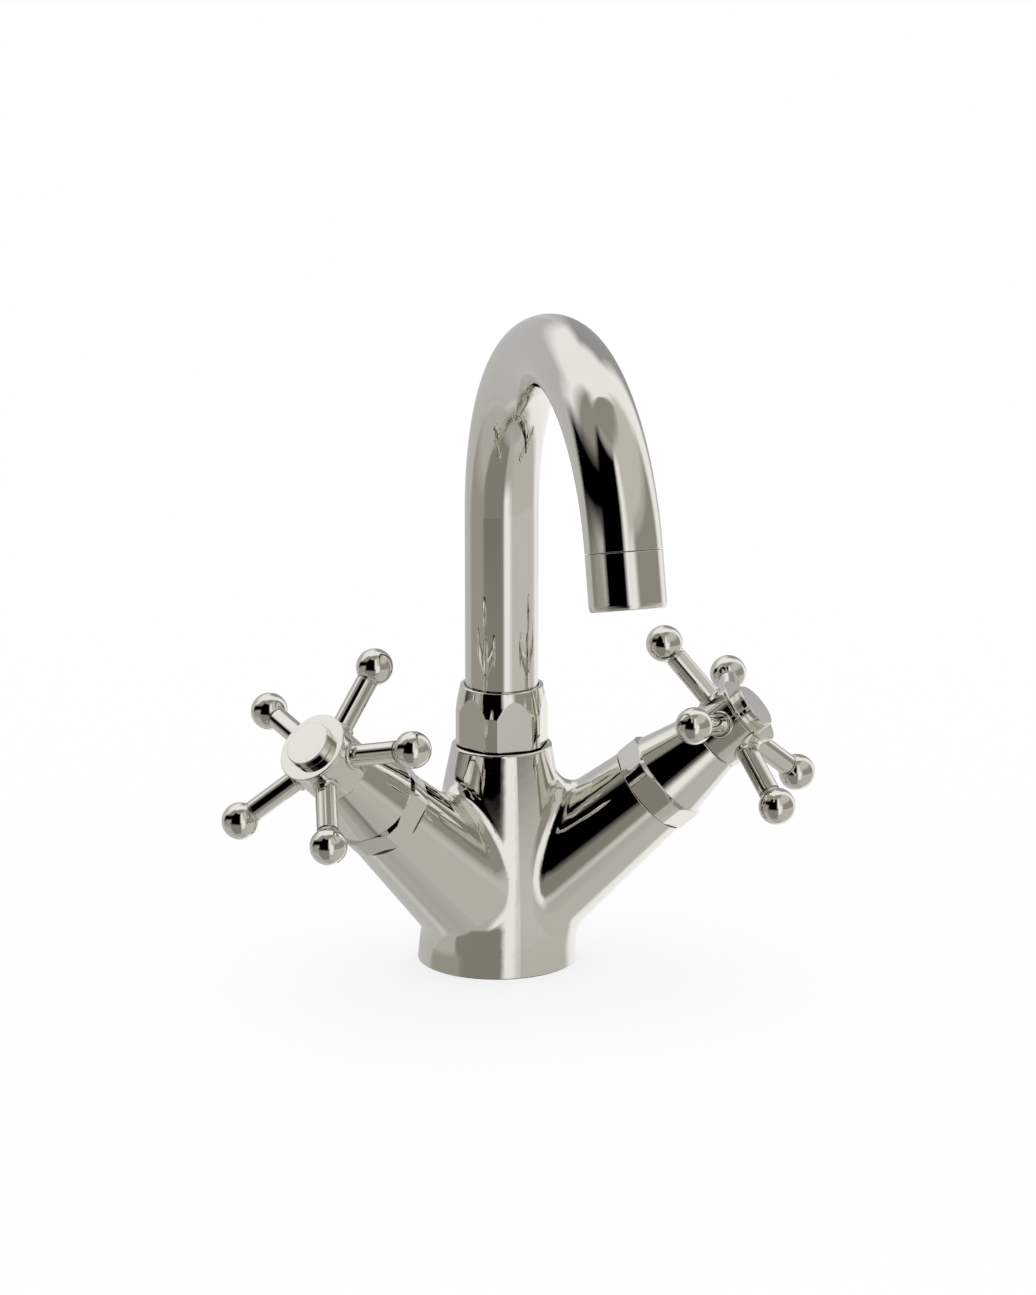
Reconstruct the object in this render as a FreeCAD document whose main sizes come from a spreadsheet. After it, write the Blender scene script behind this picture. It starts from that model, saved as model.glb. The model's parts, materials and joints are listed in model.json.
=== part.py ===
"""Single-hole basin mixer: cast body with two swept arms, swivelling U spout and two five-spoke handles.

Frame: millimetres, +Z up, spout towards -Y, origin at the centre of the foot on the deck.
Stations along an arm are measured from the point where the two arm axes cross.
"""
import FreeCAD, Part
import os
import re
import Sketcher

SIZES = {
    # foot and column
    "base_diameter": 48.4,
    "waist_diameter": 41.0,
    "waist_height": 35.0,
    "neck_rise": 15.0,
    "neck_ledge": 1.0,
    "spout_forward": 4.6,
    "crotch_blend_radius": 4.8,
    "root_blend_radius": 12.0,
    "neck_rounding": 0.8,
    "foot_rounding": 0.3,
    # arms
    "arm_cross_height": 14.0,
    "arm_cross_back": 1.0,
    "arm_tilt": 41.1,
    "arm_sweep": 28.8,
    "arm_length": 62.2,
    "arm_end_diameter": 28.7,
    "arm_root_station": 5.5,
    "arm_root_diameter": 39.8,
    # waterways
    "foot_wall": 5.2,
    "recess_depth": 7.0,
    "inlet_station": 13.0,
    "inlet_bore": 9.0,
    "valve_depth": 25.7,
    "port_bore": 6.8,
    "port_offset": 4.5,
    "port_rise": 7.2,
    "chamber_margin": 0.5,
    "chamber_sump": 1.0,
    # fixing to the deck
    "gasket_inset": 2.9,
    "gasket_section": 2.4,
    "stud_diameter": 8.0,
    "stud_back": 9.5,
    "stud_grip": 12.0,
    "stud_spare": 21.5,
    "stud_point": 1.0,
    "deck_thickness": 20.0,
    "horseshoe_inset": 1.2,
    "horseshoe_leg": 9.0,
    "horseshoe_lip_wall": 1.3,
    "rubber_thickness": 3.0,
    "steel_thickness": 2.5,
    "fixing_nut_wall": 2.5,
    "fixing_nut_height": 8.0,
    # spout
    "tube_diameter": 22.0,
    "tube_wall": 1.5,
    "bend_start_height": 140.2,
    "bend_radius": 59.1,
    "bend_angle": 165.0,
    # spout seat
    "spigot_wall": 2.3,
    "socket_depth": 14.0,
    "nut_wall": 2.2,
    "nut_flat_depth": 1.05,
    "nut_seam": 0.5,
    "nut_height": 17.9,
    "nut_cone_height": 7.7,
    "nut_lip": 1.05,
    "nut_shoulder": 2.5,
    "nut_pocket_depth": 3.5,
    "spout_foot_wall": 3.45,
    "foot_in_tube": 12.0,
    "slide_ring_height": 1.4,
    "split_ring_height": 1.2,
    "split_ring_grip": 1.2,
    "split_ring_slit": 3.0,
    "spout_seal_section": 1.9,
    "spout_seal_spacing": 10.0,
    # outlet
    "ferrule_tail": 4.0,
    "ferrule_wall": 1.9,
    "ferrule_length": 7.0,
    "housing_wall": 1.1,
    "housing_length": 16.4,
    "housing_seam": 0.15,
    "housing_lip": 1.4,
    "housing_lip_width": 1.0,
    "housing_rounding": 0.5,
    "aerator_washer_height": 1.4,
    "aerator_wall": 1.7,
    "screen_thickness": 0.6,
    "screen_rim": 2.1,
    "jet_bore": 1.8,
    "jet_margin": 1.6,
    # valves
    "seal_height": 2.0,
    "disc_height": 3.0,
    "disc_rim": 1.5,
    "disc_web": 0.4,
    "sleeve_gap": 1.25,
    "sleeve_wall": 1.1,
    "sleeve_height": 12.0,
    "window_width": 7.0,
    "driver_height": 2.4,
    "driver_tang": 1.2,
    "driver_tang_width": 3.0,
    "flange_ledge": 2.0,
    "flange_height": 3.2,
    "headwork_washer_height": 0.6,
    "gland_wall": 3.0,
    "gland_height": 13.6,
    "spindle_diameter": 10.0,
    "spindle_seal_section": 1.7,
    "spindle_seal_spacing": 4.0,
    "circlip_height": 1.0,
    "circlip_width": 2.4,
    "circlip_grip": 1.0,
    "stop_height": 2.4,
    "stop_lug_height": 1.6,
    "stop_lug_angle": 30.0,
    "stop_play_angle": 2.0,
    "quarter_turn": 90.0,
    # bonnets
    "collar_step": 0.45,
    "collar_flat_depth": 1.0,
    "collar_wall": 1.4,
    "collar_seam": 0.2,
    "collar_height": 6.8,
    "collar_chamfer_height": 1.0,
    "collar_chamfer": 1.15,
    "bonnet_cone_length": 17.8,
    "bonnet_wall": 1.8,
    "bonnet_gap": 0.5,
    # handles
    "hub_gap": 0.25,
    "hub_overhang": 0.7,
    "hub_diameter": 21.0,
    "hub_length": 13.1,
    "hub_wall": 3.0,
    "hub_rounding": 0.5,
    "spline_step": 1.0,
    "spline_depth": 8.2,
    "hub_web": 1.4,
    "screw_diameter": 4.0,
    "screw_length": 9.5,
    "screw_head_diameter": 7.2,
    "screw_head_height": 2.2,
    "screw_key": 3.0,
    "cap_overhang": 0.5,
    "cap_thickness": 1.0,
    "cap_spigot_height": 1.0,
    "cap_margin": 4.0,
    "cap_pad_height": 2.7,
    "spoke_offset": 7.2,
    "spoke_count": 5,
    "spoke_diameter": 6.5,
    "spoke_boss_step": 0.75,
    "spoke_boss_height": 1.3,
    "spoke_tenon_step": 0.75,
    "spoke_tenon_wall": 1.8,
    "spot_face_depth": 0.8,
    "spoke_length": 21.0,
    "ball_diameter": 11.06,
    "neck_groove_width": 0.5,
    "neck_groove_depth": 0.3,
    # fits
    "running_clearance": 0.05,
    "free_clearance": 0.2,
    "overcut": 1.0,
}

DERIVED = {
    # foot and fixing
    "recess_diameter": "base_diameter - 2 * foot_wall",
    "gasket_ring_diameter": "recess_diameter + 2 * gasket_inset",
    "gasket_groove_depth": "gasket_section + free_clearance",
    "gasket_groove_width": "gasket_section + 2 * free_clearance",
    "stud_top": "recess_depth + stud_grip",
    "rubber_top": "0 - deck_thickness",
    "steel_top": "rubber_top - rubber_thickness",
    "fixing_nut_top": "steel_top - steel_thickness",
    "fixing_nut_flats": "stud_diameter + 2 * fixing_nut_wall",
    "stud_reach": "fixing_nut_height + stud_spare - fixing_nut_top",
    "horseshoe_diameter": "base_diameter - 2 * horseshoe_inset",
    "horseshoe_slot": "horseshoe_diameter - 2 * horseshoe_leg",
    "horseshoe_lip": "stud_diameter / 2 + free_clearance + horseshoe_lip_wall",
    # spout seat, from the tube downwards
    "tube_bore": "tube_diameter - 2 * tube_wall",
    "socket_bore": "tube_bore",
    "spigot_diameter": "socket_bore + 2 * spigot_wall",
    "nut_diameter": "spigot_diameter + 2 * nut_wall",
    "nut_flats": "nut_diameter - 2 * nut_flat_depth",
    "nut_top_diameter": "tube_diameter + 2 * free_clearance + 2 * nut_lip",
    "neck_diameter": "nut_diameter + 2 * neck_ledge",
    "arm_crotch": "(neck_diameter * sin(arm_tilt) + arm_root_diameter) / 2 / cos(arm_tilt)",
    "neck_height": "arm_cross_height + arm_crotch + neck_rise",
    "socket_floor": "neck_height - socket_depth",
    "nut_bottom": "neck_height + nut_seam",
    "nut_top": "nut_bottom + nut_height",
    "nut_pocket_floor": "nut_top - nut_pocket_depth",
    "nut_ledge": "nut_pocket_floor - nut_shoulder",
    "split_ring_top": "nut_ledge - free_clearance",
    "split_ring_bottom": "split_ring_top - split_ring_height",
    "split_ring_diameter": "spigot_diameter - 2 * free_clearance",
    "slide_ring_top": "split_ring_bottom - free_clearance / 2",
    "spigot_top": "slide_ring_top - slide_ring_height",
    "tube_start": "nut_pocket_floor + free_clearance",
    "foot_diameter": "socket_bore - 2 * running_clearance",
    "foot_bottom": "socket_floor + free_clearance",
    "foot_waterway": "foot_diameter - 2 * spout_foot_wall",
    "spout_seal_radius": "foot_diameter / 2 - spout_seal_section / 2",
    "spout_seal_lower": "socket_floor + spout_seal_spacing / 2",
    "spout_seal_upper": "spout_seal_lower + spout_seal_spacing",
    # outlet, from the end of the bend
    "ferrule_thread": "tube_diameter - 2 * housing_wall",
    "ferrule_bore": "ferrule_thread - 2 * ferrule_wall",
    "ferrule_tail_diameter": "tube_bore - 4 * free_clearance",
    "aerator_bore": "tube_diameter - 2 * aerator_wall",
    "housing_lip_bore": "aerator_bore - 2 * housing_lip_width",
    "housing_lip_top": "housing_length - housing_lip",
    "insert_bottom": "ferrule_length + aerator_washer_height",
    "screen_diameter": "aerator_bore - 2 * screen_rim",
    "jet_pitch": "screen_diameter / 2 - jet_margin - jet_bore / 2",
    # bonnet and valve diameters, from the end of the arm inwards
    "collar_diameter": "arm_end_diameter + 2 * collar_step",
    "collar_flats": "collar_diameter - 2 * collar_flat_depth",
    "bonnet_cone_diameter": "collar_diameter - 2 * collar_chamfer",
    "bonnet_end_diameter": "hub_diameter - 2 * hub_overhang",
    "bonnet_bore": "spindle_diameter + 2 * bonnet_gap",
    "flange_diameter": "collar_flats - 2 * collar_wall",
    "valve_bore": "flange_diameter - 2 * flange_ledge",
    "sleeve_diameter": "valve_bore - 2 * sleeve_gap",
    "sleeve_bore": "sleeve_diameter - 2 * sleeve_wall",
    "disc_diameter": "sleeve_bore - 2 * running_clearance",
    "disc_port": "disc_diameter / 2 - disc_rim - driver_tang_width / 2 - disc_web",
    "disc_port_radius": "driver_tang_width / 2 + disc_web + disc_port / 2",
    "gland_diameter": "spindle_diameter + 2 * gland_wall",
    "spindle_bore": "spindle_diameter + 2 * running_clearance",
    "spindle_seal_radius": "spindle_diameter / 2 - spindle_seal_section / 2",
    "stop_diameter": "spindle_diameter + 2 * stop_lug_height",
    "circlip_diameter": "spindle_diameter - 2 * circlip_grip + 2 * circlip_width",
    # stations of the valve, from its seat outwards
    "seat_station": "arm_length - valve_depth",
    "port_station": "seat_station + port_offset",
    "port_height": "arm_cross_height + port_station * sin(arm_tilt) + port_rise * cos(arm_tilt)",
    "chamber_bore": "foot_waterway + 2 * chamber_margin",
    "chamber_floor": "port_height - port_bore / 2 - chamber_sump",
    "seal_top": "seat_station + seal_height",
    "fixed_disc_top": "seal_top + disc_height",
    "moving_disc_bottom": "fixed_disc_top + running_clearance / 2",
    "moving_disc_top": "moving_disc_bottom + disc_height",
    "driver_bottom": "moving_disc_top + running_clearance",
    "driver_top": "driver_bottom + driver_height",
    "sleeve_bottom": "seat_station + seal_height / 2",
    "sleeve_top": "sleeve_bottom + sleeve_height",
    "chamber_top": "driver_top + free_clearance",
    "flange_bottom": "arm_length + headwork_washer_height",
    "flange_top": "flange_bottom + flange_height",
    "gland_top": "flange_top + gland_height",
    "spindle_seal_lower": "flange_top + spindle_seal_spacing / 2",
    "spindle_seal_upper": "spindle_seal_lower + spindle_seal_spacing",
    "stop_floor": "gland_top - stop_height",
    "circlip_bottom": "gland_top + free_clearance",
    "circlip_top": "circlip_bottom + circlip_height",
    "spline_bottom": "circlip_top + circlip_height",
    # stations of the bonnet and handle
    "collar_bottom": "arm_length + collar_seam",
    "collar_top": "collar_bottom + collar_height",
    "bonnet_cone_station": "collar_top + collar_chamfer_height",
    "bonnet_end_station": "bonnet_cone_station + bonnet_cone_length",
    "bonnet_lid": "bonnet_end_station - bonnet_wall",
    "hub_back": "bonnet_end_station + hub_gap",
    "hub_front": "hub_back + hub_length",
    "spline_diameter": "spindle_diameter - 2 * spline_step",
    "spline_top": "hub_back + spline_depth",
    "screw_seat": "spline_top + hub_web",
    "screw_head_top": "screw_seat + screw_head_height",
    "screw_tip": "screw_seat - screw_length",
    "cap_diameter": "hub_diameter + 2 * cap_overhang",
    "cap_spigot_diameter": "hub_diameter - 2 * hub_wall",
    "cap_spigot_bottom": "hub_front - cap_spigot_height",
    "cap_pad_diameter": "cap_diameter - 2 * cap_margin",
    "cap_top": "hub_front + cap_thickness",
    "spoke_station": "hub_back + spoke_offset",
    "spoke_boss_diameter": "spoke_diameter + 2 * spoke_boss_step",
    "spoke_tenon_diameter": "spoke_diameter - 2 * spoke_tenon_step",
    "spoke_seat_radius": "hub_diameter / 2 - spot_face_depth",
    "spoke_tenon_end": "spline_diameter / 2 + spoke_tenon_wall",
    "spoke_boss_top": "spoke_seat_radius + spoke_boss_height",
    "ball_ring_radius": "hub_diameter / 2 + spoke_length",
    "ball_back": "ball_ring_radius - sqrt(ball_diameter ^ 2 - spoke_diameter ^ 2) / 2",
    "neck_groove_top": "ball_back - neck_groove_depth",
    "neck_groove_bottom": "neck_groove_top - neck_groove_width",
}

SIDES = ("left", "right")

doc = FreeCAD.newDocument("basin_tap")
sheet = doc.addObject("Spreadsheet::Sheet", "dims")
for row, (alias, size) in enumerate(SIZES.items(), start=1):
    sheet.set("A%d" % row, alias)
    sheet.set("B%d" % row, str(size))
    sheet.setAlias("B%d" % row, alias)
doc.recompute()

pieces = []


def formula(text):
    """Turns the plain words of a formula into references to the sheet."""

    def swap(match):
        word = match.group(0)
        if word in DERIVED:
            return "(" + formula(DERIVED[word]) + ")"
        if word in SIZES:
            return "dims." + word
        return word

    return re.sub(r"[a-z_]+", swap, text)


def bind(thing, **formulas):
    """Ties properties of a document object to the sheet, one formula for each."""
    for name, text in formulas.items():
        thing.setExpression(name, formula(text))
    return thing


def place(thing, where):
    """Ties the placement of a document object to the sheet."""
    thing.setExpression("Placement", formula(where))
    return thing


def at(x="0", y="0", z="0", turn="0", lean="0", roll="0"):
    """A placement formula: a point, then turns about Z, Y and X in degrees."""
    return "placement(vector(%s; %s; %s); rotation(%s; %s; %s))" % (x, y, z, turn, lean, roll)


def on_arm(side, z="0", x="0", y="0", turn="0", lean="0"):
    """A placement on one arm: Z runs out along the arm, -X is the upper side."""
    heading = "0 - arm_sweep" if side == "right" else "180 + arm_sweep"
    arm = at("0", "arm_cross_back", "arm_cross_height", heading, "90 - arm_tilt")
    return arm + " * " + at(x, y, z, turn, lean)


def on_riser(z="0"):
    """A placement on the upright axis of the spout."""
    return at("0", "0 - spout_forward", z)


def on_outlet():
    """A placement at the end of the bend: Z runs with the water."""
    reach = "0 - spout_forward - bend_radius * (1 - cos(bend_angle))"
    level = "bend_start_height + bend_radius * sin(bend_angle)"
    return at("0", reach, level, roll="bend_angle")


def piece(thing, name):
    """Marks a document object as a finished piece with its own name."""
    thing.Label = name
    pieces.append(thing)
    return thing


def made(kind, name, where=None, **formulas):
    """A primitive or boolean of the Part workbench."""
    thing = bind(doc.addObject("Part::" + kind, name), **formulas)
    return place(thing, where) if where else thing


def cut(name, base, *tools):
    """The base with the tools taken away."""
    tool = tools[0] if len(tools) == 1 else joined(name + "_tools", *tools)
    result = doc.addObject("Part::Cut", name)
    result.Base = base
    result.Tool = tool
    return result


def joined(name, *shapes):
    """Several shapes fused into one."""
    result = doc.addObject("Part::MultiFuse", name)
    result.Shapes = list(shapes)
    return result


def milled(name, base, flats, where, bottom, top):
    """A turned blank with six flats milled on it."""
    hexagon = made(
        "Prism",
        name + "_hexagon",
        where,
        Circumradius=flats + " / 2 / cos(30)",
        Height="%s - (%s)" % (top, bottom),
    )
    result = doc.addObject("Part::Common", name)
    result.Base = base
    result.Tool = hexagon
    return result


def origin_plane(body, role):
    return next(plane for plane in body.Origin.OriginFeatures if plane.Role == role)


def sketch_in(body, name, role):
    sketch = body.newObject("Sketcher::SketchObject", name)
    sketch.AttachmentSupport = [(origin_plane(body, role), "")]
    sketch.MapMode = "FlatFace"
    return sketch


def turned(name, outline, where=None):
    """A body turned about its own Z axis; the outline is a closed ring of (radius, height) formulas."""
    body = doc.addObject("PartDesign::Body", name)
    sketch = sketch_in(body, name + "_profile", "XZ_Plane")
    corners = len(outline)
    for index in range(corners):
        start = FreeCAD.Vector(1 + index, 1 + index * index, 0)
        end = FreeCAD.Vector(2 + index, 1 + (index + 1) ** 2, 0)
        sketch.addGeometry(Part.LineSegment(start, end), False)
    for index in range(corners):
        sketch.addConstraint(Sketcher.Constraint("Coincident", index, 2, (index + 1) % corners, 1))
    for index, (radius, height) in enumerate(outline):
        for kind, axis, text in (("DistanceX", -2, radius), ("DistanceY", -1, height)):
            if text == "0":
                sketch.addConstraint(Sketcher.Constraint("PointOnObject", index, 1, axis))
            else:
                number = sketch.addConstraint(Sketcher.Constraint(kind, -1, 1, index, 1, 1.0 + index))
                sketch.setExpression("Constraints[%d]" % number, formula(text))
    revolution = body.newObject("PartDesign::Revolution", name + "_turning")
    revolution.Profile = sketch
    revolution.ReferenceAxis = (sketch, ["V_Axis"])
    revolution.Angle = 360
    if where:
        place(body, where)
    return body


def ring(name, inner, outer, bottom, top, where):
    """A plain turned ring between two diameters."""
    bore = inner + " / 2"
    edge = outer + " / 2"
    height = "%s - (%s)" % (top, bottom)
    return turned(name, [(bore, "0"), (edge, "0"), (edge, height), (bore, height)], where)


def o_ring(name, radius, section, where):
    return made("Torus", name, where, Radius1=radius, Radius2=section + " / 2")


def drilled(name, where, bore, depth, **formulas):
    """A straight round hole, or a round bar."""
    return made("Cylinder", name, where, Radius=bore + " / 2", Height=depth, **formulas)


def slot_box(name, where, length, width, height):
    return made("Box", name, where, Length=length, Width=width, Height=height)


def casting_blank():
    """Column lofted through three circles, and two tapered arms with blends that widen to the root."""
    sections = []
    for level, diameter, forward, height in (
        ("foot", "base_diameter", "0", "0"),
        ("waist", "waist_diameter", "spout_forward * waist_height / neck_height", "waist_height"),
        ("neck", "neck_diameter", "spout_forward", "neck_height"),
    ):
        # each circle starts in front, so the column's seam keeps clear of the arms' blends
        where = at("0", "0 - (%s)" % forward, height, turn="270")
        sections.append(made("Circle", level + "_circle", where, Radius=diameter + " / 2"))
    column = doc.addObject("Part::Loft", "column")
    column.Sections = sections
    column.Solid = True
    arms = [
        made(
            "Cone",
            "%s_arm_%s" % (side, half),
            on_arm(side, "arm_root_station", turn=turn),
            Radius1="arm_root_diameter / 2",
            Radius2="arm_end_diameter / 2",
            Height="arm_length - arm_root_station",
            Angle="180",
        )
        for side in SIDES
        for half, turn in (("one", "0"), ("two", "180"))
    ]
    blank = joined("casting_blank", column, *arms)
    doc.recompute()
    neck_level = sections[-1].Placement.Base.z
    blends, roots = [], []
    for number, edge in enumerate(blank.Shape.Edges, start=1):
        surfaces = [type(face.Surface) for face in blank.Shape.ancestorsOfType(edge, Part.Face)]
        if len(surfaces) < 2:
            continue
        if Part.Plane not in surfaces and surfaces.count(Part.Cone) == 1:
            roots.append((number, edge.firstVertex().Point.z, edge.lastVertex().Point.z))
        elif abs(edge.BoundBox.ZMin - neck_level) < sheet.neck_rounding / 2:
            blends.append((number, sheet.neck_rounding, sheet.neck_rounding))
        elif edge.BoundBox.ZMax < sheet.foot_rounding:
            blends.append((number, sheet.foot_rounding, sheet.foot_rounding))
    lowest = min(min(ends) for _, *ends in roots)
    climb = max(max(ends) for _, *ends in roots) - lowest
    widening = sheet.root_blend_radius - sheet.crotch_blend_radius
    for number, *ends in roots:
        start, end = (sheet.root_blend_radius - widening * (level - lowest) / climb for level in ends)
        blends.append((number, start, end))
    casting = doc.addObject("Part::Fillet", "casting")
    casting.Base = blank
    casting.Edges = blends
    return casting


def body_casting():
    """The casting with its spigot, waterways, valve seats and fixing holes."""
    spigot_root = on_riser("neck_height - overcut")
    spigot = drilled("spigot", spigot_root, "spigot_diameter", "spigot_top - neck_height + overcut")
    chamber_depth = "socket_floor - chamber_floor + overcut"
    stud_mouth = at("0", "stud_back", "recess_depth - overcut")
    tools = [
        drilled("foot_recess", at(z="0 - overcut"), "recess_diameter", "recess_depth + overcut"),
        drilled("socket", on_riser("socket_floor"), "socket_bore", "spigot_top - socket_floor + overcut"),
        drilled("chamber", on_riser("chamber_floor"), "chamber_bore", chamber_depth),
        drilled("stud_hole", stud_mouth, "stud_diameter", "stud_grip + overcut"),
        ring(
            "gasket_groove",
            "(gasket_ring_diameter - gasket_groove_width)",
            "(gasket_ring_diameter + gasket_groove_width)",
            "0 - overcut",
            "gasket_groove_depth",
            at(z="0 - overcut"),
        ),
    ]
    for side in SIDES:
        sign = "1" if side == "right" else "-1"
        across = sign + " * inlet_station * cos(arm_tilt) * cos(arm_sweep)"
        along = "arm_cross_back - inlet_station * cos(arm_tilt) * sin(arm_sweep)"
        rise = "arm_cross_height + inlet_station * sin(arm_tilt) + inlet_bore / 2 - recess_depth + overcut"
        mouth = at(across, along, "recess_depth - overcut")
        seat_way = "seat_station - inlet_station + overcut"
        valve_depth = "arm_length - seat_station + overcut"
        tools += [
            drilled(side + "_inlet", mouth, "inlet_bore", rise),
            drilled(side + "_seat_way", on_arm(side, "inlet_station"), "inlet_bore", seat_way),
            drilled(side + "_valve_bore", on_arm(side, "seat_station"), "valve_bore", valve_depth),
            drilled(
                side + "_mixing_port",
                on_arm(side, "port_station", "0 - port_rise", lean="arm_tilt - 180"),
                "port_bore",
                "port_station * cos(arm_tilt) - port_rise * sin(arm_tilt)",
            ),
        ]
    return cut("body", joined("casting_and_spigot", casting_blank(), spigot), *tools)


def spout_nut():
    """Round nut with six flats; its cone gives the flats their arched tops."""
    outline = [
        ("spigot_diameter / 2", "0"),
        ("nut_diameter / 2 - free_clearance", "0"),
        ("nut_diameter / 2", "free_clearance"),
        ("nut_diameter / 2", "nut_height - nut_cone_height"),
        ("nut_top_diameter / 2 + free_clearance", "nut_height - free_clearance"),
        ("nut_top_diameter / 2 - free_clearance", "nut_height"),
        ("tube_diameter / 2 + free_clearance", "nut_height"),
        ("tube_diameter / 2 + free_clearance", "nut_height - nut_pocket_depth"),
        ("foot_diameter / 2 + free_clearance", "nut_height - nut_pocket_depth"),
        ("foot_diameter / 2 + free_clearance", "nut_height - nut_pocket_depth - nut_shoulder"),
        ("spigot_diameter / 2", "nut_height - nut_pocket_depth - nut_shoulder"),
    ]
    where = on_riser("nut_bottom")
    blank = turned("spout_nut_blank", outline, where)
    return milled("spout_nut", blank, "nut_flats", where, "0", "nut_height")


def spout_tube():
    """Straight riser and a bend turned about a level axis, both with the same wall."""
    body = doc.addObject("PartDesign::Body", "spout_tube")
    for name, level, back, feature in (
        ("riser", "tube_start", None, "PartDesign::Pad"),
        ("bend", "bend_start_height", "bend_radius", "PartDesign::Revolution"),
    ):
        sketch = sketch_in(body, name + "_section", "XY_Plane")
        sketch.setExpression("AttachmentOffset.Base.z", formula(level))
        for diameter in ("tube_diameter", "tube_bore"):
            centre = FreeCAD.Vector(0, SIZES[back] if back else 0, 0)
            outline = Part.Circle(centre, FreeCAD.Vector(0, 0, 1), SIZES["tube_diameter"] / 2)
            circle = sketch.addGeometry(outline, False)
            number = sketch.addConstraint(Sketcher.Constraint("Diameter", circle, SIZES["tube_diameter"]))
            sketch.setExpression("Constraints[%d]" % number, formula(diameter))
            sketch.addConstraint(Sketcher.Constraint("PointOnObject", circle, 3, -2))
            if back:
                offset = Sketcher.Constraint("DistanceY", -1, 1, circle, 3, SIZES[back])
                number = sketch.addConstraint(offset)
                sketch.setExpression("Constraints[%d]" % number, formula(back))
            else:
                sketch.addConstraint(Sketcher.Constraint("PointOnObject", circle, 3, -1))
        solid = body.newObject(feature, name)
        solid.Profile = sketch
        if back:
            sketch.setExpression("AttachmentOffset.Base.y", formula("0 - " + back))
            solid.ReferenceAxis = (sketch, ["H_Axis"])
            solid.setExpression("Angle", formula("bend_angle"))
        else:
            solid.setExpression("Length", formula("bend_start_height - tube_start"))
    return place(body, on_riser())


def spout_foot():
    """Turned foot brazed into the riser, with grooves for two seals and the split ring."""
    outline = [
        ("foot_waterway / 2", "foot_bottom"),
        ("foot_diameter / 2", "foot_bottom"),
    ]
    for level in ("spout_seal_lower", "spout_seal_upper"):
        half = "(spout_seal_section / 2 + free_clearance)"
        root = "spout_seal_radius - spout_seal_section / 2"
        outline += [
            ("foot_diameter / 2", level + " - " + half),
            (root, level + " - " + half),
            (root, level + " + " + half),
            ("foot_diameter / 2", level + " + " + half),
        ]
    outline += [
        ("foot_diameter / 2", "split_ring_bottom"),
        ("foot_diameter / 2 - split_ring_grip", "split_ring_bottom"),
        ("foot_diameter / 2 - split_ring_grip", "split_ring_top"),
        ("foot_diameter / 2", "split_ring_top"),
        ("foot_diameter / 2", "tube_start - free_clearance"),
        ("tube_bore / 2", "tube_start - free_clearance"),
        ("tube_bore / 2", "tube_start + foot_in_tube"),
        ("foot_waterway / 2", "tube_start + foot_in_tube"),
    ]
    return turned("spout_foot", outline, on_riser())


def split_ring():
    blank = ring(
        "split_ring_blank",
        "(foot_diameter - 2 * split_ring_grip)",
        "split_ring_diameter",
        "split_ring_bottom",
        "split_ring_top",
        on_riser("split_ring_bottom"),
    )
    slit = slot_box(
        "split_ring_slit_cut",
        at("0 - split_ring_slit / 2", "0 - spout_forward", "split_ring_bottom - overcut"),
        "split_ring_slit",
        "split_ring_diameter",
        "split_ring_height + 2 * overcut",
    )
    return cut("split_ring", blank, slit)


def spout_seat():
    """The pieces that let the spout swivel and keep it tight."""
    piece(spout_foot(), "spout_foot")
    for level in ("lower", "upper"):
        name = "spout_o_ring_" + level
        piece(o_ring(name, "spout_seal_radius", "spout_seal_section", on_riser("spout_seal_" + level)), name)
    piece(
        ring(
            "slide_ring",
            "(foot_diameter + 2 * free_clearance)",
            "split_ring_diameter",
            "spigot_top",
            "slide_ring_top",
            on_riser("spigot_top"),
        ),
        "slide_ring",
    )
    piece(split_ring(), "split_ring")


def outlet_ferrule():
    """Threaded ring brazed into the end of the tube."""
    outline = [
        ("ferrule_bore / 2", "0"),
        ("ferrule_tail_diameter / 2", "0"),
        ("ferrule_tail_diameter / 2", "ferrule_tail"),
        ("ferrule_thread / 2", "ferrule_tail"),
        ("ferrule_thread / 2", "ferrule_tail + ferrule_length"),
        ("ferrule_bore / 2", "ferrule_tail + ferrule_length"),
    ]
    return turned("outlet_ferrule", outline, on_outlet() + " * " + at(z="0 - ferrule_tail"))


def aerator_housing():
    """Sleeve of the tube's own diameter with an eased lower edge."""
    outline = [
        ("ferrule_thread / 2", "housing_seam"),
        ("tube_diameter / 2 - housing_seam", "housing_seam"),
        ("tube_diameter / 2", "2 * housing_seam"),
        ("tube_diameter / 2", "housing_length - 3 * housing_rounding"),
        ("tube_diameter / 2 - housing_rounding / 4", "housing_length - 1.5 * housing_rounding"),
        ("tube_diameter / 2 - housing_rounding / 2", "housing_length - housing_rounding / 2"),
        ("tube_diameter / 2 - housing_rounding", "housing_length"),
        ("housing_lip_bore / 2", "housing_length"),
        ("housing_lip_bore / 2", "housing_lip_top"),
        ("aerator_bore / 2", "housing_lip_top"),
        ("aerator_bore / 2", "ferrule_length + free_clearance"),
        ("ferrule_thread / 2", "ferrule_length + free_clearance"),
    ]
    return turned("aerator_housing", outline, on_outlet())


def jets(name, bottom, height):
    """Three rows of round holes on a hexagonal pitch, seven in all with their middle."""
    holes = [drilled(name + "_middle", on_outlet() + " * " + at(z=bottom), "jet_bore", height)]
    for index in range(6):
        where = on_outlet() + " * " + at(turn=str(60 * index)) + " * " + at(x="jet_pitch", z=bottom)
        holes.append(drilled("%s_%d" % (name, index), where, "jet_bore", height))
    return holes


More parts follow.
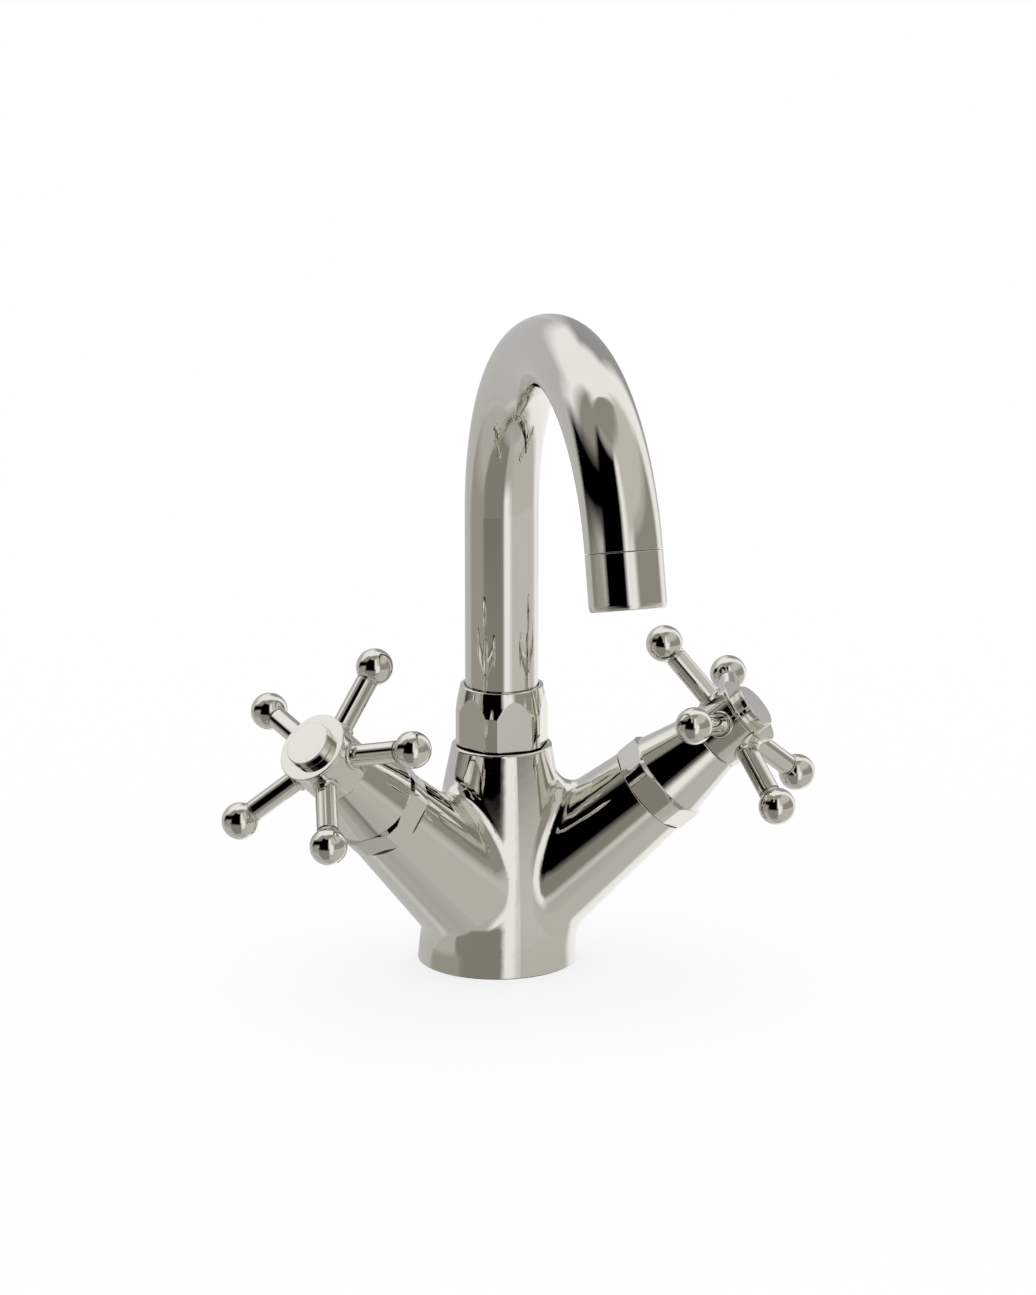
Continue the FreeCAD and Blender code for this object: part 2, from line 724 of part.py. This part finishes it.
def aerator_insert():
    """Plastic cup whose floor is drilled for the jets, with a seat for the screen."""
    outline = [
        ("0", "insert_bottom + screen_thickness"),
        ("screen_diameter / 2", "insert_bottom + screen_thickness"),
        ("screen_diameter / 2", "insert_bottom"),
        ("aerator_bore / 2 - running_clearance", "insert_bottom"),
        ("aerator_bore / 2 - running_clearance", "housing_lip_top"),
        ("housing_lip_bore / 2 - free_clearance", "housing_lip_top"),
        ("housing_lip_bore / 2 - free_clearance", "housing_length - housing_lip / 2"),
        ("0", "housing_length - housing_lip / 2"),
    ]
    blank = turned("aerator_insert_blank", outline, on_outlet())
    holes = jets("insert_jet", "insert_bottom", "housing_length - insert_bottom")
    return cut("aerator_insert", blank, *holes)


def aerator_screen():
    where = on_outlet() + " * " + at(z="insert_bottom")
    blank = drilled("aerator_screen_blank", where, "screen_diameter", "screen_thickness")
    holes = jets("screen_jet", "insert_bottom - overcut", "screen_thickness + 2 * overcut")
    return cut("aerator_screen", blank, *holes)


def outlet():
    piece(outlet_ferrule(), "outlet_ferrule")
    piece(aerator_housing(), "aerator_housing")
    where = on_outlet() + " * " + at(z="ferrule_length")
    piece(
        ring(
            "aerator_washer",
            "ferrule_bore",
            "(aerator_bore - 2 * running_clearance)",
            "ferrule_length",
            "insert_bottom",
            where,
        ),
        "aerator_washer",
    )
    piece(aerator_insert(), "aerator_insert")
    piece(aerator_screen(), "aerator_screen")


def headwork(side):
    """Screwed valve carrier: ported sleeve, thread, flange and gland, with a pocket for the stop."""
    outline = [
        ("sleeve_bore / 2", "sleeve_bottom"),
        ("sleeve_diameter / 2", "sleeve_bottom"),
        ("sleeve_diameter / 2", "sleeve_top"),
        ("valve_bore / 2", "sleeve_top"),
        ("valve_bore / 2", "flange_bottom"),
        ("flange_diameter / 2", "flange_bottom"),
        ("flange_diameter / 2", "flange_top"),
        ("gland_diameter / 2", "flange_top"),
        ("gland_diameter / 2", "gland_top"),
        ("spindle_bore / 2", "gland_top"),
        ("spindle_bore / 2", "chamber_top"),
        ("sleeve_bore / 2", "chamber_top"),
    ]
    blank = turned(side + "_headwork_blank", outline, on_arm(side))
    windows = slot_box(
        side + "_windows",
        on_arm(side, "moving_disc_bottom", "0 - window_width / 2", "0 - sleeve_diameter"),
        "window_width",
        "2 * sleeve_diameter",
        "driver_top - moving_disc_bottom",
    )
    pocket = drilled(
        side + "_stop_pocket",
        on_arm(side, "stop_floor", turn="0 - stop_lug_angle / 2 - stop_play_angle"),
        "(stop_diameter + 2 * free_clearance)",
        "stop_height + overcut",
        Angle="quarter_turn + stop_lug_angle + 2 * stop_play_angle",
    )
    return cut(side + "_headwork", blank, windows, pocket)


def spindle(side):
    """Splined spindle with a driving tang below, two seal grooves, a circlip groove and a stop lug."""
    outline = [
        ("0", "driver_bottom"),
        ("disc_diameter / 2 - free_clearance", "driver_bottom"),
        ("disc_diameter / 2 - free_clearance", "driver_top"),
        ("spindle_diameter / 2", "driver_top"),
    ]
    for level in ("spindle_seal_lower", "spindle_seal_upper"):
        half = "(spindle_seal_section / 2 + free_clearance / 2)"
        root = "spindle_seal_radius - spindle_seal_section / 2"
        outline += [
            ("spindle_diameter / 2", level + " - " + half),
            (root, level + " - " + half),
            (root, level + " + " + half),
            ("spindle_diameter / 2", level + " + " + half),
        ]
    outline += [
        ("spindle_diameter / 2", "circlip_bottom"),
        ("spindle_diameter / 2 - circlip_grip", "circlip_bottom"),
        ("spindle_diameter / 2 - circlip_grip", "circlip_top"),
        ("spindle_diameter / 2", "circlip_top"),
        ("spindle_diameter / 2", "spline_bottom"),
        ("spline_diameter / 2", "spline_bottom"),
        ("spline_diameter / 2", "spline_top"),
        ("screw_diameter / 2", "spline_top"),
        ("screw_diameter / 2", "screw_tip"),
        ("0", "screw_tip"),
    ]
    shaft = turned(side + "_shaft", outline, on_arm(side))
    tang = slot_box(
        side + "_tang",
        on_arm(side, "driver_bottom - driver_tang", "0 - spindle_diameter / 2", "0 - driver_tang_width / 2"),
        "spindle_diameter",
        "driver_tang_width",
        "driver_tang + driver_height",
    )
    lug = drilled(
        side + "_stop_lug",
        on_arm(side, "stop_floor + free_clearance", turn="0 - stop_lug_angle / 2"),
        "stop_diameter",
        "stop_height - free_clearance",
        Angle="stop_lug_angle",
    )
    return joined(side + "_spindle", shaft, tang, lug)


def disc_ports(name, side, bottom, turn):
    """Two opposite round ways through a ceramic disc."""
    ways = []
    for index in range(2):
        heading = on_arm(side, bottom + " - overcut", turn="%s + %d" % (turn, 180 * index))
        where = heading + " * " + at(x="disc_port_radius")
        ways.append(drilled("%s_port_%d" % (name, index), where, "disc_port", "disc_height + 2 * overcut"))
    return ways


def ceramic_discs(side):
    """Fixed disc with its ways across the arm, moving disc a quarter turn away from them."""
    fixed = side + "_fixed_disc"
    blank = drilled(fixed + "_blank", on_arm(side, "seal_top"), "disc_diameter", "disc_height")
    piece(cut(fixed, blank, *disc_ports(fixed, side, "seal_top", "0")), fixed)
    moving = side + "_moving_disc"
    where = on_arm(side, "moving_disc_bottom")
    blank = drilled(moving + "_blank", where, "(disc_diameter - 2 * free_clearance)", "disc_height")
    slot = slot_box(
        moving + "_slot",
        on_arm(
            side,
            "driver_bottom - driver_tang - running_clearance",
            "0 - spindle_diameter / 2 - running_clearance",
            "0 - driver_tang_width / 2 - running_clearance",
        ),
        "spindle_diameter + 2 * running_clearance",
        "driver_tang_width + 2 * running_clearance",
        "driver_tang + overcut",
    )
    piece(cut(moving, blank, slot, *disc_ports(moving, side, "moving_disc_bottom", "quarter_turn")), moving)


def circlip(side):
    blank = ring(
        side + "_circlip_blank",
        "(spindle_diameter - 2 * circlip_grip)",
        "circlip_diameter",
        "circlip_bottom",
        "circlip_top",
        on_arm(side, "circlip_bottom"),
    )
    mouth = slot_box(
        side + "_circlip_mouth",
        on_arm(side, "circlip_bottom - overcut", "0", "0 - spindle_diameter / 4"),
        "circlip_diameter",
        "spindle_diameter / 2",
        "circlip_height + 2 * overcut",
    )
    return cut(side + "_circlip", blank, mouth)


def valve(side):
    """A quarter-turn ceramic valve, from its seat seal up to its circlip."""
    piece(headwork(side), side + "_headwork")
    for name, inner, outer, bottom, top in (
        (side + "_headwork_washer", "valve_bore", "flange_diameter", "arm_length", "flange_bottom"),
        (side + "_seat_seal", "inlet_bore", "disc_diameter", "seat_station", "seal_top"),
    ):
        piece(ring(name, inner, outer, bottom, top, on_arm(side, bottom)), name)
    ceramic_discs(side)
    piece(spindle(side), side + "_spindle")
    for level in ("lower", "upper"):
        name = side + "_spindle_o_ring_" + level
        where = on_arm(side, "spindle_seal_" + level)
        piece(o_ring(name, "spindle_seal_radius", "spindle_seal_section", where), name)
    piece(circlip(side), side + "_circlip")


def bonnet(side):
    """Shroud over the valve: a collar with six flats, then a cone up to the handle."""
    slope = "(bonnet_cone_diameter - bonnet_end_diameter) / (bonnet_end_station - bonnet_cone_station)"
    lid_bore = "(bonnet_end_diameter / 2 + bonnet_wall * (%s) / 2 - bonnet_wall)" % slope
    cone_bore = "(bonnet_cone_diameter / 2 - bonnet_wall)"
    end = "bonnet_end_station - collar_bottom"
    outline = [
        ("flange_diameter / 2", "0"),
        ("collar_diameter / 2 - free_clearance", "0"),
        ("collar_diameter / 2", "free_clearance"),
        ("collar_diameter / 2", "collar_top - collar_bottom"),
        ("bonnet_cone_diameter / 2", "bonnet_cone_station - collar_bottom"),
        ("bonnet_end_diameter / 2 + free_clearance / 2", end + " - free_clearance"),
        ("bonnet_end_diameter / 2 - free_clearance", end),
        ("bonnet_bore / 2", end),
        ("bonnet_bore / 2", "bonnet_lid - collar_bottom"),
        (lid_bore, "bonnet_lid - collar_bottom"),
        (cone_bore, "bonnet_cone_station - collar_bottom"),
        (cone_bore, "flange_top - collar_bottom + free_clearance"),
        ("flange_diameter / 2", "flange_top - collar_bottom + free_clearance"),
    ]
    where = on_arm(side, "collar_bottom")
    blank = turned(side + "_bonnet_blank", outline, where)
    return milled(side + "_bonnet", blank, "collar_flats", where, "collar_bottom", "bonnet_end_station")


def hub(side):
    """Handle hub with a splined socket, a screw seat and five spot-faced holes for the spokes."""
    outline = [
        ("spline_diameter / 2", "hub_back"),
        ("hub_diameter / 2 - hub_rounding", "hub_back"),
        ("hub_diameter / 2", "hub_back + hub_rounding"),
        ("hub_diameter / 2", "hub_front - hub_rounding"),
        ("hub_diameter / 2 - hub_rounding", "hub_front"),
        ("cap_spigot_diameter / 2", "hub_front"),
        ("cap_spigot_diameter / 2", "cap_spigot_bottom"),
        ("screw_head_diameter / 2 + free_clearance", "cap_spigot_bottom"),
        ("screw_head_diameter / 2 + free_clearance", "screw_seat"),
        ("screw_diameter / 2 + running_clearance", "screw_seat"),
        ("screw_diameter / 2 + running_clearance", "spline_top"),
        ("spline_diameter / 2", "spline_top"),
    ]
    blank = turned(side + "_hub_blank", outline, on_arm(side))
    tools = []
    for index in range(SIZES["spoke_count"]):
        for name, bore, start in (
            ("tenon_hole", "spoke_tenon_diameter", "spoke_tenon_end"),
            ("spot_face", "spoke_boss_diameter", "spoke_seat_radius"),
        ):
            where = on_spoke(side, index) + " * " + at(z=start)
            tools.append(drilled("%s_%s_%d" % (side, name, index), where, bore, "hub_diameter"))
    return cut(side + "_hub", blank, *tools)


def on_spoke(side, index):
    """A placement on one spoke: Z runs out along it; the first spoke points to the upper side."""
    return on_arm(side, "spoke_station", turn="180 + %d * 360 / spoke_count" % index, lean="90")


def spoke(side, index):
    """Rod with a screwed tenon, a boss at the hub, a fine groove and a ball on its end."""
    name = "%s_spoke_%d" % (side, index + 1)
    rod = "spoke_diameter / 2"
    outline = [
        ("0", "spoke_tenon_end"),
        ("spoke_tenon_diameter / 2", "spoke_tenon_end"),
        ("spoke_tenon_diameter / 2", "spoke_seat_radius"),
        ("spoke_boss_diameter / 2", "spoke_seat_radius"),
        ("spoke_boss_diameter / 2", "spoke_boss_top - neck_groove_depth"),
        ("spoke_boss_diameter / 2 - neck_groove_depth", "spoke_boss_top"),
        (rod, "spoke_boss_top"),
        (rod, "neck_groove_bottom"),
        (rod + " - neck_groove_depth", "neck_groove_bottom"),
        (rod + " - neck_groove_depth", "neck_groove_top"),
        (rod, "neck_groove_top"),
        (rod, "ball_ring_radius"),
        ("0", "ball_ring_radius"),
    ]
    bar = turned(name + "_bar", outline, on_spoke(side, index))
    middle = on_spoke(side, index) + " * " + at(z="ball_ring_radius")
    ball = made("Sphere", name + "_ball", middle, Radius="ball_diameter / 2")
    return piece(joined(name, bar, ball), name)


def handle_screw(side):
    """Socket screw that holds the hub down on the spindle."""
    outline = [
        ("0", "screw_tip + running_clearance"),
        ("screw_diameter / 2", "screw_tip + running_clearance"),
        ("screw_diameter / 2", "screw_seat"),
        ("screw_head_diameter / 2", "screw_seat"),
        ("screw_head_diameter / 2", "screw_head_top"),
        ("0", "screw_head_top"),
    ]
    blank = turned(side + "_screw_blank", outline, on_arm(side))
    key = made(
        "Prism",
        side + "_screw_key",
        on_arm(side, "screw_head_top - screw_head_height / 2"),
        Circumradius="screw_key / 2 / cos(30)",
        Height="screw_head_height",
    )
    return cut(side + "_handle_screw", blank, key)


def cap(side):
    """Plain cover disc with a raised round pad and a spigot pressed into the hub."""
    outline = [
        ("0", "cap_spigot_bottom"),
        ("cap_spigot_diameter / 2", "cap_spigot_bottom"),
        ("cap_spigot_diameter / 2", "hub_front"),
        ("cap_diameter / 2 - free_clearance", "hub_front"),
        ("cap_diameter / 2", "hub_front + free_clearance"),
        ("cap_diameter / 2", "cap_top - free_clearance"),
        ("cap_diameter / 2 - free_clearance", "cap_top"),
        ("cap_pad_diameter / 2", "cap_top"),
        ("cap_pad_diameter / 2", "cap_top + cap_pad_height - free_clearance"),
        ("cap_pad_diameter / 2 - free_clearance", "cap_top + cap_pad_height"),
        ("0", "cap_top + cap_pad_height"),
    ]
    return turned(side + "_cap", outline, on_arm(side))


def handle(side):
    piece(hub(side), side + "_hub")
    for index in range(SIZES["spoke_count"]):
        spoke(side, index)
    piece(handle_screw(side), side + "_handle_screw")
    piece(cap(side), side + "_cap")


def horseshoe(name, top, thickness):
    """Washer with a slot for the supply hoses and a hole for the stud."""
    floor = "%s - %s" % (top, thickness)
    blank = drilled(name + "_blank", at(z=floor), "horseshoe_diameter", thickness)
    slot_end = "stud_back - horseshoe_lip - horseshoe_diameter"
    slot = slot_box(
        name + "_slot",
        at("0 - horseshoe_slot / 2", slot_end, "%s - overcut" % floor),
        "horseshoe_slot",
        "horseshoe_diameter",
        "%s + 2 * overcut" % thickness,
    )
    hole = drilled(
        name + "_hole",
        at("0", "stud_back", "%s - overcut" % floor),
        "(stud_diameter + 2 * free_clearance)",
        "%s + 2 * overcut" % thickness,
    )
    return cut(name, blank, slot, hole)


def fixings():
    """What clamps the tap to the deck from below."""
    bed = at(z="gasket_section / 2 + free_clearance / 2")
    piece(o_ring("base_gasket", "gasket_ring_diameter / 2", "gasket_section", bed), "base_gasket")
    reach = "stud_reach + stud_top"
    outline = [
        ("0", "0"),
        ("stud_diameter / 2 - stud_point", "0"),
        ("stud_diameter / 2", "stud_point"),
        ("stud_diameter / 2", reach),
        ("0", reach),
    ]
    piece(turned("fixing_stud", outline, at("0", "stud_back", "0 - stud_reach")), "fixing_stud")
    piece(horseshoe("rubber_horseshoe", "rubber_top", "rubber_thickness"), "rubber_horseshoe")
    piece(horseshoe("steel_horseshoe", "steel_top", "steel_thickness"), "steel_horseshoe")
    bottom = "fixing_nut_top - fixing_nut_height"
    blank = made(
        "Prism",
        "fixing_nut_blank",
        at("0", "stud_back", bottom),
        Circumradius="fixing_nut_flats / 2 / cos(30)",
        Height="fixing_nut_height",
    )
    thread = drilled(
        "fixing_nut_thread",
        at("0", "stud_back", bottom + " - overcut"),
        "stud_diameter",
        "fixing_nut_height + 2 * overcut",
    )
    piece(cut("fixing_nut", blank, thread), "fixing_nut")


def check():
    """Stops the run if any object failed or any piece has no valid solid."""
    doc.recompute()
    failed = [thing.Name for thing in doc.Objects if "Invalid" in thing.State or "Error" in thing.State]
    if failed:
        raise RuntimeError("failed objects: %s" % failed)
    for thing in pieces:
        if thing.Shape.isNull() or not thing.Shape.isValid() or not thing.Shape.Solids:
            raise RuntimeError("no valid solid: %s" % thing.Label)


def export():
    os.makedirs("parts", exist_ok=True)
    for thing in pieces:
        thing.Shape.exportStep("parts/%s.step" % thing.Label)
        print(thing.Label, len(thing.Shape.Solids), round(thing.Shape.Volume, 1))


piece(body_casting(), "body")
piece(spout_nut(), "spout_nut")
piece(spout_tube(), "spout_tube")
spout_seat()
outlet()
for tap_side in SIDES:
    valve(tap_side)
    piece(bonnet(tap_side), tap_side + "_bonnet")
    handle(tap_side)
fixings()
check()
export()
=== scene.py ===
"""Dresses the basin tap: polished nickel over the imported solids, in a white studio with grey and dark cards.

Metres, in the part's own frame: +Z up, spout towards -Y, origin on the deck under the column.
"""
import json
import math
import bpy
from mathutils import Euler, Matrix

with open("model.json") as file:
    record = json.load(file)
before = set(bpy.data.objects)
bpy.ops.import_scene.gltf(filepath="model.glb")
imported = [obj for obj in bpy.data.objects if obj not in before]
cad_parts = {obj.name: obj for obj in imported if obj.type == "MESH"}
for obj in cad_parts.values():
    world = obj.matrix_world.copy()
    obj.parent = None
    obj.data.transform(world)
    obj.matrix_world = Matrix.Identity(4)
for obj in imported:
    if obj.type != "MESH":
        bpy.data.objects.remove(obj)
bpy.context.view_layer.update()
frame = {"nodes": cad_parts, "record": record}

# camera, worked out from the photo
CAMERA_PLACE = (-0.5114, -1.6731, 0.5675)
CAMERA_HEADING = 17.20
CAMERA_PITCH = -15.06
CAMERA_REACH = 50
LENS_MM = 168.08
SENSOR_MM = 36.0

# cards that only the metal mirrors, in degrees as the tap sees them: azimuth 0 is in front, 90 to its right.
# name, azimuth from and to, elevation from and to, brightness, tint, softness of the edge,
# rise per degree of azimuth
CARDS = (
    ("grey_nadir", -180, 180, -90, -65, 0.45, "plain", 12, 0.0),
    ("grey_wall_back_left", -195, -130, -65, 30, 0.55, "clear", 15, 0.0),
    ("grey_low_right", 10, 105, -70, -10, 0.55, "plain", 15, 0.0),
    ("grey_low_front", -25, 20, -80, -35, 0.50, "plain", 15, 0.0),
    ("grey_low_left", -135, -70, -80, -5, 0.50, "plain", 15, 0.0),
    ("dim_ceiling", -90, 90, 60, 90, 0.30, "warm", 12, 0.0),
    ("dim_slope_left", -115, -65, 5, 70, 0.30, "warm", 15, 0.0),
    ("scrim_right", 0, 100, 20, 65, 0.60, "plain", 12, 0.0),
    ("dim_wall_right", 15, 100, -10, 25, 0.30, "warm", 12, 0.0),
    ("dim_recess_right", 130, 165, -10, 50, 0.35, "clear", 12, 0.0),
    ("dim_low_front", -80, -10, -70, 0, 0.25, "warm", 8, 0.0),
    ("dim_low_left", -130, -75, -25, 5, 0.35, "warm", 12, 0.0),
    ("dark_doorway", -75, -15, -10, 60, 0.0, "plain", 10, 0.0),
    ("dark_beam", -130, -65, 5, 30, 0.0, "plain", 12, 0.4),
)
TINTS = {"clear": (1, 1, 1), "plain": (1.02, 1, 0.95), "warm": (1.05, 1, 0.9)}
CARD_CENTRE = (0.0, -0.03, 0.11)
CARD_DISTANCE = 3.0
# each card stands this much nearer than the one before, and so covers it
CARD_SPACING = 0.04
CARD_FACET = 6
POLE = 90

FLOOR_RADIUS = 0.45
FLOOR_DROP = 0.0001
# share of the floor's white that shadows can take away
FLOOR_SHADED = 0.27

# dark and light shade, metallic, roughness from and to, cells per metre, relief,
# reach of the painted shade in seams and creases, easing of edges
NICKEL = ((0.767, 0.755, 0.700), (0.787, 0.775, 0.718), 1.0, (0.03, 0.045), 600, 0.002)
FINISHES = {
    "nickel": (*NICKEL, 0.002, 0.0003),
    "nickel_without_painted_shade": (*NICKEL, 0.0, 0.0003),
    "brass": ((0.62, 0.44, 0.18), (0.70, 0.50, 0.22), 1.0, (0.20, 0.32), 1800, 0.10, 0.002, 0.0),
    "steel": ((0.46, 0.46, 0.45), (0.56, 0.56, 0.55), 1.0, (0.25, 0.40), 2200, 0.12, 0.0, 0.0),
    "rubber": ((0.012, 0.012, 0.012), (0.022, 0.022, 0.021), 0.0, (0.55, 0.75), 2600, 0.25, 0.0, 0.0),
    "plastic": ((0.60, 0.60, 0.58), (0.66, 0.66, 0.64), 0.0, (0.35, 0.50), 2400, 0.15, 0.0, 0.0),
    "ceramic": ((0.80, 0.79, 0.75), (0.85, 0.84, 0.81), 0.0, (0.12, 0.22), 2400, 0.05, 0.0, 0.0),
}
# pieces whose joints get no painted shade, so they meet in a fine line without a dark gap
PAINTED_SHADE_FREE_PIECES = ("left_hub", "right_hub", "left_bonnet", "right_bonnet")
# part of the noise that is stretched to the whole range, height of the relief, and cells to a patch of shade
NOISE_LOW, NOISE_HIGH = 0.3, 0.7
RELIEF_HEIGHT = 0.0001
PATCH_CELLS = 12
# openness at which the painted shade in seams and creases is darkest and at which it ends
CREASE_SHADE_DARKEST, CREASE_SHADE_END = 0.22, 0.66
# near-black colour of the painted shade in seams and creases
CREASE_SHADE_COLOUR = (0.012, 0.011, 0.010, 1)


def add(tree, kind, **settings):
    """A new node with its properties and the values of its inputs set by name."""
    made = tree.nodes.new("ShaderNode" + kind)
    for name, value in settings.items():
        if hasattr(made, name):
            setattr(made, name, value)
        else:
            made.inputs[name].default_value = value
    return made


def studio_world():
    """Plain white all round."""
    world = bpy.data.worlds.new("studio")
    world.use_nodes = True
    background = world.node_tree.nodes["Background"]
    background.inputs["Color"].default_value = (1, 1, 1, 1)
    background.inputs["Strength"].default_value = 1.0
    bpy.context.scene.world = world


def stops(start, end, soft, pole=math.inf):
    """Places along a card with its cover there: clear at both rims, but whole up to a pole."""
    foot, top = start <= -pole, end >= pole
    first, last = start if foot else start + soft / 2, end if top else end - soft / 2
    count = math.ceil((last - first) / CARD_FACET)
    inside = [(first + (last - first) * i / count, 1.0) for i in range(count + 1)]
    return ([] if foot else [(start - soft / 2, 0.0)]) + inside + ([] if top else [(end + soft / 2, 0.0)])


def card(name, grid, cover, tint, brightness):
    """A sheet that only the metal mirrors, clear where its cover is 0."""
    rows, columns = len(grid), len(grid[0])
    mesh = bpy.data.meshes.new(name)
    faces = [
        (i * columns + j, i * columns + j + 1, (i + 1) * columns + j + 1, (i + 1) * columns + j)
        for i in range(rows - 1) for j in range(columns - 1)
    ]
    mesh.from_pydata([place for row in grid for place in row], [], faces)
    covers = mesh.attributes.new("cover", "FLOAT", "POINT")
    covers.data.foreach_set("value", [c for row in cover for c in row])
    made, tree = unlit(name)
    glow = add(tree, "Emission", Strength=brightness)
    glow.inputs["Color"].default_value = (*TINTS[tint], 1)
    blend = add(tree, "MixShader")
    tree.links.new(add(tree, "Attribute", attribute_name="cover").outputs["Fac"], blend.inputs[0])
    tree.links.new(add(tree, "BsdfTransparent").outputs[0], blend.inputs[1])
    tree.links.new(glow.outputs[0], blend.inputs[2])
    tree.links.new(blend.outputs[0], tree.nodes["Material Output"].inputs["Surface"])
    mesh.materials.append(made)
    sheet = bpy.data.objects.new(name, mesh)
    bpy.context.scene.collection.objects.link(sheet)
    sheet.visible_camera = sheet.visible_diffuse = sheet.visible_shadow = False


def studio_cards():
    """Grey and dark cards all round the tap."""
    for rank, (name, left, right, low, high, brightness, tint, soft, rise) in enumerate(CARDS):
        middle = (left + right) / 2
        across, up = stops(left - middle, right - middle, soft), stops(low, high, soft, POLE)
        distance = CARD_DISTANCE - CARD_SPACING * rank
        grid = []
        for climb, _ in up:
            row = []
            for turn, _ in across:
                a = math.radians(middle + turn)
                e = math.radians(max(-POLE, min(POLE, climb + rise * turn)))
                way = (math.sin(a) * math.cos(e), -math.cos(a) * math.cos(e), math.sin(e))
                row.append([c + distance * w for c, w in zip(CARD_CENTRE, way)])
            grid.append(row)
        card(name, grid, [[min(u, a) for _, a in across] for _, u in up], tint, brightness)


def material(name):
    """A new material with its node tree and shader."""
    made = bpy.data.materials.new(name)
    made.use_nodes = True
    return made, made.node_tree, made.node_tree.nodes["Principled BSDF"]


def unlit(name):
    """A material without its usual shader, whose glow isn't sampled as a lamp."""
    made, tree, shader = material(name)
    made.cycles.emission_sampling = "NONE"
    tree.nodes.remove(shader)
    return made, tree


def noise(tree, scale):
    """Noise in the piece's own coordinates, in cells per metre."""
    made = add(tree, "TexNoise", Scale=scale, Detail=4.0)
    tree.links.new(add(tree, "TexCoord").outputs["Object"], made.inputs["Vector"])
    return made.outputs[0]


def spread(tree, source, low, high):
    """Stretches noise to a range of values."""
    made = add(tree, "MapRange")
    tree.links.new(source, made.inputs["Value"])
    made.inputs["From Min"].default_value = NOISE_LOW
    made.inputs["From Max"].default_value = NOISE_HIGH
    made.inputs["To Min"].default_value = low
    made.inputs["To Max"].default_value = high
    return made.outputs["Result"]


def shades(tree, source, dark, light):
    """Colour between two shades."""
    ramp = add(tree, "ValToRGB")
    for element, place, colour in zip(ramp.color_ramp.elements, (NOISE_LOW, NOISE_HIGH), (dark, light)):
        element.position = place
        element.color = (*colour, 1)
    tree.links.new(source, ramp.inputs["Fac"])
    return ramp.outputs["Color"]


def crease_shaded(tree, colour, reach):
    """The colour with painted shade: falling to near black in seams, creases and gaps that ambient occlusion
    finds narrower than the reach.
    """
    shade = add(tree, "AmbientOcclusion", samples=8, Distance=reach)
    open_part = add(tree, "MapRange", interpolation_type="SMOOTHSTEP")
    tree.links.new(shade.outputs["AO"], open_part.inputs["Value"])
    open_part.inputs["From Min"].default_value = CREASE_SHADE_DARKEST
    open_part.inputs["From Max"].default_value = CREASE_SHADE_END
    mix = add(tree, "Mix", data_type="RGBA")
    tree.links.new(open_part.outputs["Result"], mix.inputs[0])
    mix.inputs[6].default_value = CREASE_SHADE_COLOUR
    tree.links.new(colour, mix.inputs[7])
    return mix.outputs[2]


def finish(name, dark, light, metallic, roughness, cells, relief, reach, easing):
    """A surface with a little change of shade, roughness and height, painted shade darkening its seams and
    creases, and eased edges.
    """
    made, tree, shader = material(name)
    shader.inputs["Metallic"].default_value = metallic
    colour = shades(tree, noise(tree, cells / PATCH_CELLS), dark, light)
    # painted shade: ambient occlusion darkens the colour in seams and creases
    if reach:
        colour = crease_shaded(tree, colour, reach)
    tree.links.new(colour, shader.inputs["Base Color"])
    tree.links.new(spread(tree, noise(tree, cells), *roughness), shader.inputs["Roughness"])
    bump = add(tree, "Bump", Strength=relief, Distance=RELIEF_HEIGHT)
    tree.links.new(noise(tree, cells), bump.inputs["Height"])
    if easing:
        tree.links.new(add(tree, "Bevel", samples=6, Radius=easing).outputs[0], bump.inputs["Normal"])
    tree.links.new(bump.outputs[0], shader.inputs["Normal"])
    return made


def dress_nodes():
    """Gives every solid the finish of its slot."""
    finishes = {name: finish(name, *look) for name, look in FINISHES.items()}
    for part in frame["record"]["subparts"]:
        slot = "nickel_without_painted_shade" if part["node"] in PAINTED_SHADE_FREE_PIECES else part["material_slot"]
        for place in frame["nodes"][part["node"]].material_slots:
            place.material = finishes[slot]


def floor():
    """Pale round floor, white but for the tap's shadow; the metal mirrors the cards below it instead."""
    place = (0, 0, -FLOOR_DROP)
    bpy.ops.mesh.primitive_circle_add(vertices=96, radius=FLOOR_RADIUS, fill_type="NGON", location=place)
    deck = bpy.context.object
    deck.name = "pale_floor"
    made, tree = unlit("pale_floor")
    matte = add(tree, "BsdfDiffuse")
    matte.inputs["Color"].default_value = (FLOOR_SHADED, FLOOR_SHADED, FLOOR_SHADED, 1)
    both = add(tree, "AddShader")
    tree.links.new(matte.outputs[0], both.inputs[0])
    tree.links.new(add(tree, "Emission", Strength=1 - FLOOR_SHADED).outputs[0], both.inputs[1])
    tree.links.new(both.outputs[0], tree.nodes["Material Output"].inputs["Surface"])
    deck.data.materials.append(made)
    deck.visible_glossy = False


def camera():
    """The photo's camera."""
    made = bpy.data.objects.new("camera", bpy.data.cameras.new("camera"))
    bpy.context.scene.collection.objects.link(made)
    made.location = CAMERA_PLACE
    made.rotation_euler = Euler((math.radians(90 + CAMERA_PITCH), 0, math.radians(-CAMERA_HEADING)))
    made.data.lens = LENS_MM
    made.data.sensor_width = SENSOR_MM
    made.data.clip_end = CAMERA_REACH
    bpy.context.scene.camera = made


studio_world()
studio_cards()
dress_nodes()
floor()
camera()
bpy.context.scene.view_settings.view_transform = "Standard"
